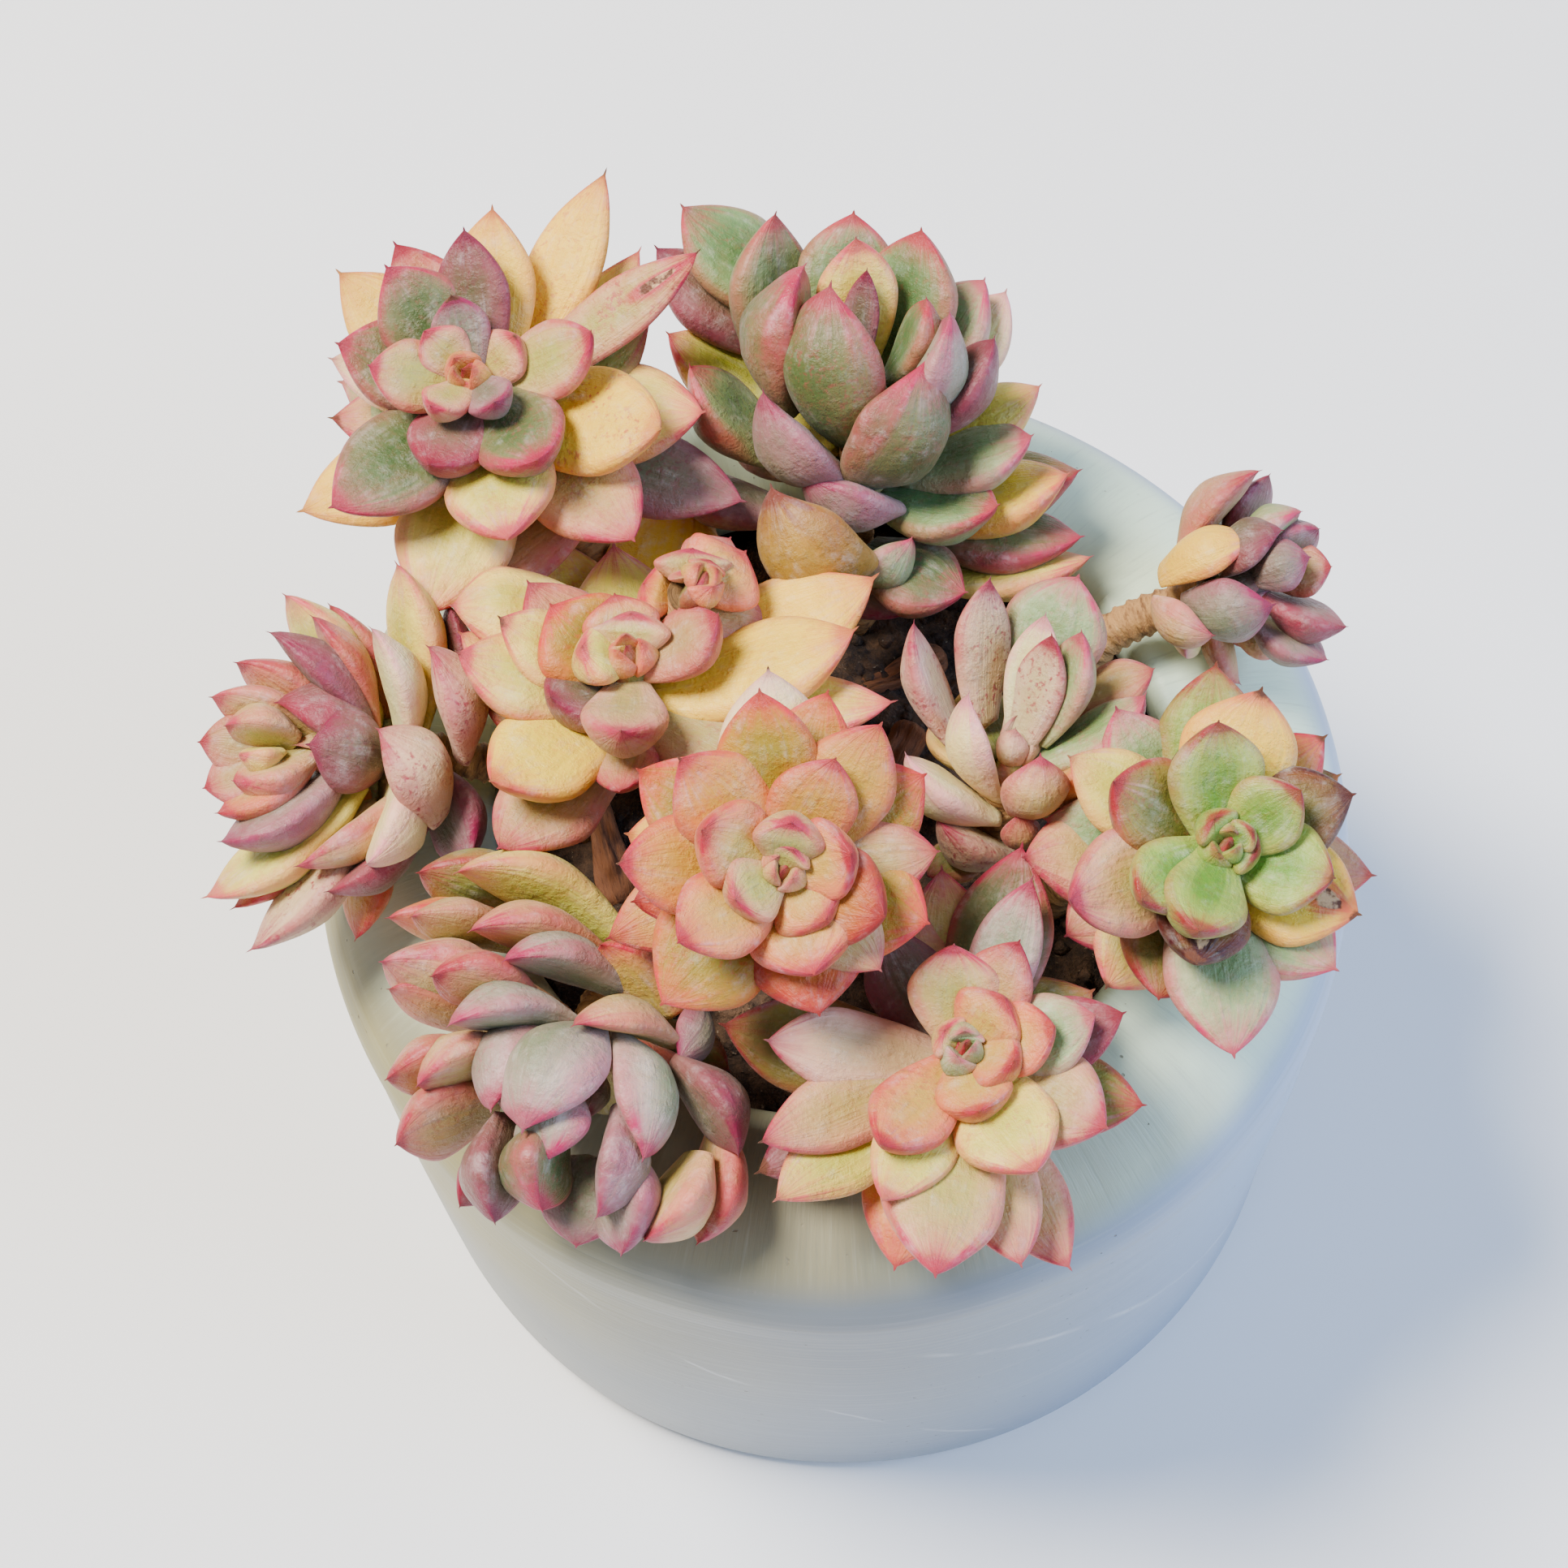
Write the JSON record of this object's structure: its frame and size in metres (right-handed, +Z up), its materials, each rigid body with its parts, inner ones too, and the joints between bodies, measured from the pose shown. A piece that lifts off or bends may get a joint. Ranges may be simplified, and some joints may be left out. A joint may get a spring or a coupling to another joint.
{
  "type": "potted succulent",
  "caption": "Round turned-stone pot with a rounded shoulder, planted with a crowded group of variegated succulent rosettes on short woody stems, in cream, green and pink.",
  "frame": {"origin": "centre of the pot's underside, on the surface that the pot stands on", "axes": "+Z up along the pot's axis, -Y to the front, +X to the right seen from the front"},
  "size_m": [0.1527, 0.1401, 0.1527],
  "materials": {
    "pot_stone": "turned, semi-matt, brushed and faintly veined",
    "potting_soil": "damp, crumbly",
    "bark": "rough, split",
    "stem_bark": "woody, ringed by leaf scars",
    "leaf_outer": "fleshy, waxy bloom, cream and green with pink edges",
    "leaf_inner": "fleshy, waxy bloom, pink and grey-green",
    "leaf_heart": "fleshy, waxy bloom, coral and green"
  },
  "bodies": {
    "root": {"pot": "pot_stone", "soil": "potting_soil", "bark_chip_1": "bark", "bark_chip_2": "bark", "bark_chip_3": "bark", "bark_chip_4": "bark", "stem_centre": "stem_bark", "stem_rear_left": "stem_bark", "stem_rear_centre": "stem_bark", "stem_right": "stem_bark", "stem_front_right": "stem_bark", "stem_front_left": "stem_bark", "stem_far_left": "stem_bark", "stem_mid_offset": "stem_bark", "stem_mid_left": "stem_bark", "stem_mid_right": "stem_bark", "stem_far_right": "stem_bark", "centre_outer_leaves": "leaf_outer", "centre_inner_leaves": "leaf_inner", "centre_heart": "leaf_heart", "rear_left_outer_leaves": "leaf_outer", "rear_left_inner_leaves": "leaf_inner", "rear_left_heart": "leaf_heart", "rear_centre_outer_leaves": "leaf_outer", "rear_centre_inner_leaves": "leaf_inner", "rear_centre_heart": "leaf_heart", "right_outer_leaves": "leaf_outer", "right_inner_leaves": "leaf_inner", "right_heart": "leaf_heart", "front_right_outer_leaves": "leaf_outer", "front_right_inner_leaves": "leaf_inner", "front_right_heart": "leaf_heart", "front_left_outer_leaves": "leaf_outer", "front_left_inner_leaves": "leaf_inner", "front_left_heart": "leaf_heart", "far_left_outer_leaves": "leaf_outer", "far_left_inner_leaves": "leaf_inner", "far_left_heart": "leaf_heart", "mid_offset_outer_leaves": "leaf_outer", "mid_offset_inner_leaves": "leaf_inner", "mid_offset_heart": "leaf_heart", "mid_left_outer_leaves": "leaf_outer", "mid_left_inner_leaves": "leaf_inner", "mid_left_heart": "leaf_heart", "mid_right_outer_leaves": "leaf_outer", "mid_right_inner_leaves": "leaf_inner", "mid_right_heart": "leaf_heart", "far_right_outer_leaves": "leaf_outer", "far_right_inner_leaves": "leaf_inner", "far_right_heart": "leaf_heart"}
  },
  "joints": []
}
